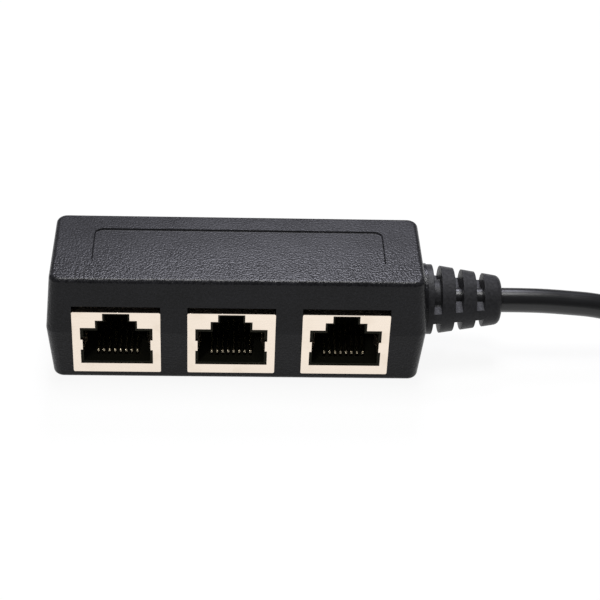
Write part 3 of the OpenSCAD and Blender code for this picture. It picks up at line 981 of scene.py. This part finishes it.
@dataclass
class Sockets:
    """The three sockets: plated shields, black insulators and gold contacts."""

    centres: tuple[float, ...] = (-21.81 * MM, -1.05 * MM, 19.71 * MM)
    face_y: float = -11.3 * MM
    floor: float = 1.95 * MM
    shield_h: float = 13.4 * MM
    board_t: float = 1.2 * MM
    pitch: float = 1.016 * MM
    contact_w: float = 0.4 * MM
    contact_t: float = 0.3 * MM
    contact_round: float = 0.09 * MM
    bend: float = 0.45 * MM
    run_z: float = 1.1 * MM
    cavity_z: float = 2.3 * MM
    rise_y: float = 2.95 * MM
    turn: float = 0.45 * MM
    tip: tuple[float, float] = (10.2 * MM, 2.3 * MM)
    tail_y: float = 13.7 * MM
    tail_pitch: float = 2.54 * MM
    tail_over: float = 1.1 * MM
    shield_edge: float = 0.06 * MM
    block_edge: float = 0.04 * MM
    wire_r: float = 0.22 * MM
    solder_r: float = 0.6 * MM
    solder_h: float = 0.8 * MM

    def tail(self, way: int) -> float:
        """Depth of a contact's tail behind the shield's face."""
        return self.tail_y + (way % 2) * self.tail_pitch

    def across(self, jack: int, way: int) -> float:
        """X of a contact: the ways stand one pitch apart about the socket's centre."""
        return self.centres[jack - 1] + (way - (len(WAYS) + 1) / 2) * self.pitch

    def contact(self, jack: int, way: int, material: bpy.types.Material) -> bpy.types.Object:
        """Makes one contact: a flat wire carried along its bent line.

        Args:
            jack: The socket's number.
            way: The contact's number in it.
            material: Its material.

        Returns:
            The contact.
        """
        tail = self.tail(way)
        over = self.shield_h + self.board_t + self.tail_over
        corners = np.array(
            [
                (tail, over),
                (tail, self.run_z),
                (self.rise_y, self.run_z),
                (self.rise_y, self.cavity_z + self.turn),
                (self.tip[0], self.cavity_z + self.tip[1]),
            ]
        )
        line = filleted(corners, self.bend)
        after_start = line[0] * 0.995 + line[1] * 0.005
        before_end = line[-1] * 0.99 + line[-2] * 0.01
        line = np.vstack([line[0], after_start, line[1:-1], before_end, line[-1]])
        x = np.full(len(line), self.across(jack, way))
        path = np.column_stack([x, line[:, 0] + self.face_y, line[:, 1] + self.floor])
        profile = soft_rectangle(self.contact_t, self.contact_w, self.contact_round)
        vertices, chart = carried(path, profile, (1, 0, 0), round_ends(len(path), 1, 0.7))
        faces = tube_faces(len(path), len(profile))
        wire = put_mesh(f"contact_wire_{jack}_{way}", vertices, faces, material, chart)
        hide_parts(f"contact_{jack}_{way}")
        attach(wire, BODY)
        return wire

    def solder(self, jack: int, material: bpy.types.Material) -> bpy.types.Object:
        """Makes a socket's eight solder joints, each a fillet turned about its tail.

        Args:
            jack: The socket's number.
            material: Their material.

        Returns:
            The joints as one piece. The radius falls from the pad's with the square of the height
            that is left, down to the wire's.
        """
        sides, rings = 16, 7
        share = np.linspace(0, 1, rings)
        radius = self.wire_r + (self.solder_r - self.wire_r) * (1 - share) ** 2
        height = share * self.solder_h
        turn = np.arange(sides) * math.tau / sides
        x = np.array([self.across(jack, way) for way in WAYS])
        y = np.array([self.face_y + self.tail(way) for way in WAYS])
        z = self.floor + self.shield_h + self.board_t
        grid = np.stack(
            np.broadcast_arrays(
                x[:, None, None] + radius[None, :, None] * np.cos(turn)[None, None],
                y[:, None, None] + radius[None, :, None] * np.sin(turn)[None, None],
                z + height[None, :, None] + 0 * turn[None, None],
            ),
            -1,
        )
        one = tube_faces(rings, sides)
        faces = [
            [corner + joint * rings * sides for corner in face]
            for joint in range(len(WAYS))
            for face in one
        ]
        joints = put_mesh(f"solder_joints_{jack}", grid.reshape(-1, 3), faces, material)
        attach(joints, BODY)
        return joints

    def build(self) -> list[bpy.types.Object]:
        """Makes the pieces of the three sockets.

        Returns:
            The new pieces.
        """
        plate, gold = TinPlate().material(), GoldPlate().material()
        black, solder = INSULATOR_SKIN.material(), SOLDER.material()
        pieces = []
        for jack in JACKS:
            shield = refine(f"shield_{jack}", f"shield_plate_{jack}", plate, self.shield_edge, 2)
            name = f"insulator_block_{jack}"
            block = refine(f"insulator_{jack}", name, black, self.block_edge, 1)
            pieces += [shield, block, self.solder(jack, solder)]
            pieces += [self.contact(jack, way, gold) for way in WAYS]
        return pieces


@dataclass
class BoardAndCores:
    """The circuit board over the sockets and the core pairs inside the body."""

    def build(self) -> list[bpy.types.Object]:
        """Finishes the board and the core pairs.

        Returns:
            No new pieces.
        """
        paint("board", SolderMask().material())
        for pair in CorePair:
            skin = CoreSkin(pair).material()
            paint(f"core_pair_{pair.number}", skin)
            paint(f"plug_pair_{pair.number}", skin)
        return []


@dataclass
class Plug:
    """The clear plug on the cord's end, with its boot, blades and cores."""

    body_edge: float = 0.15 * MM
    boot_edge: float = 0.2 * MM
    pieces: list[bpy.types.Object] = field(default_factory=list)

    def build(self) -> list[bpy.types.Object]:
        """Makes the plug's pieces.

        Returns:
            The new pieces.
        """
        clear = ClearPolycarbonate().material()
        body = refine("plug_body", "plug_shell", clear, self.body_edge, 2)
        boot = refine("plug_boot", "plug_sleeve", RELIEF_SKIN.material(), self.boot_edge, 2)
        gold = GoldPlate("blade_gold").material()
        for way in WAYS:
            paint(f"blade_{way}", gold)
        self.pieces = [body, boot]
        return self.pieces


@dataclass(frozen=True)
class Lamp:
    """A square soft lamp: where it hangs, the point it faces, its side, and its power in watts."""

    name: str
    place: tuple[float, float, float]
    aim: tuple[float, float, float]
    size: float
    power: float
    tint: Colour = (1.0, 1.0, 1.0)

    def build(self) -> bpy.types.Object:
        """Makes the lamp.

        Returns:
            The lamp, turned to its aim.
        """
        data = bpy.data.lights.new(self.name, "AREA")
        data.shape = "SQUARE"
        data.size = self.size
        data.energy = self.power
        data.color = self.tint
        lamp = bpy.data.objects.new(self.name, data)
        lamp.location = self.place
        lamp.rotation_mode = "QUATERNION"
        lamp.rotation_quaternion = (Vector(self.aim) - Vector(self.place)).to_track_quat("-Z", "Y")
        bpy.context.scene.collection.objects.link(lamp)
        return lamp


@dataclass
class Studio:
    """White table, soft lamps and a pale surround."""

    table: float = 3.0
    table_drop: float = 0.02 * MM
    glow: float = 0.92
    ambient: float = 0.16
    lamps: tuple[Lamp, ...] = (
        Lamp("top_lamp", (0.0, 0.1, 0.6), (0.01, 0.0, 0.0), 0.22, 3.2),
        Lamp("back_lamp", (0.04, 0.62, 0.74), (0.0, 0.0, 0.0), 0.22, 5.2, (0.88, 0.88, 1.0)),
        Lamp("front_lamp", (-0.3, -0.5, 0.72), (0.0, 0.0, 0.01), 0.12, 0.6),
    )

    def backdrop(self) -> bpy.types.Object:
        """Makes the table: white to the camera and in reflections, with the object's shadow on it.

        Returns:
            The table.
        """
        mix = Mixer("white_table")
        path = mix.node("ShaderNodeLightPath")
        seen = path["Is Camera Ray"].most(path["Is Glossy Ray"]).most(path["Is Transmission Ray"])
        tone = mix.blend(path["Is Diffuse Ray"], opaque((0.86,) * 3), opaque((0.45,) * 3))
        matt = mix.node("ShaderNodeBsdfDiffuse", {}, {"Color": tone})["BSDF"]
        white = {"Color": opaque((1.0,) * 3), "Strength": 1.0}
        glow = mix.node("ShaderNodeEmission", {}, white)["Emission"]
        layers = {0: seen * self.glow, 1: matt, 2: glow}
        cover = mix.node("ShaderNodeMixShader", {}, layers)["Shader"]
        clear = mix.node("ShaderNodeBsdfTransparent")["BSDF"]
        below = mix.node("ShaderNodeNewGeometry")["Backfacing"]
        sheet = mix.node("ShaderNodeMixShader", {}, {0: below, 1: cover, 2: clear})["Shader"]
        mix.node("ShaderNodeOutputMaterial", {}, {"Surface": sheet})
        half = self.table / 2
        turns = ((-1, -1), (1, -1), (1, 1), (-1, 1))
        corners = np.array([(x * half, y * half, -self.table_drop) for x, y in turns])
        table = put_mesh("table", corners, [[0, 1, 2, 3]], mix.material)
        return table

    def surround(self) -> None:
        """Makes the world: white to the camera and a dim even light on the object."""
        world = bpy.data.worlds.new("surround")
        world.use_nodes = True
        nodes, links = world.node_tree.nodes, world.node_tree.links
        path = nodes.new("ShaderNodeLightPath")
        ground = nodes["Background"]
        ground.inputs["Color"].default_value = (1.0, 1.0, 1.0, 1.0)
        share = nodes.new("ShaderNodeMix")
        share.inputs["A"].default_value = self.ambient
        share.inputs["B"].default_value = 1.0
        links.new(path.outputs["Is Camera Ray"], share.inputs["Factor"])
        links.new(share.outputs["Result"], ground.inputs["Strength"])
        bpy.context.scene.world = world

    def build(self) -> None:
        """Makes the table, the lamps and the surround."""
        self.backdrop()
        for lamp in self.lamps:
            lamp.build()
        self.surround()
        bpy.context.scene.view_settings.view_transform = "Standard"


def main() -> None:
    """Builds and dresses the adapter."""
    logging.basicConfig(level=logging.INFO, format="%(name)s: %(message)s")
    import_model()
    Camera().build()
    cord = Cord()
    jacket = cord.build()
    log.info("cord: %s", jacket.name)
    plug = Plug()
    for part in (plug, Housing(), Sockets(), BoardAndCores()):
        made = part.build()
        log.info("%s: %d new pieces", type(part).__name__, len(made))
    cord.declare()
    Studio().build()


if __name__ == "__main__":
    main()
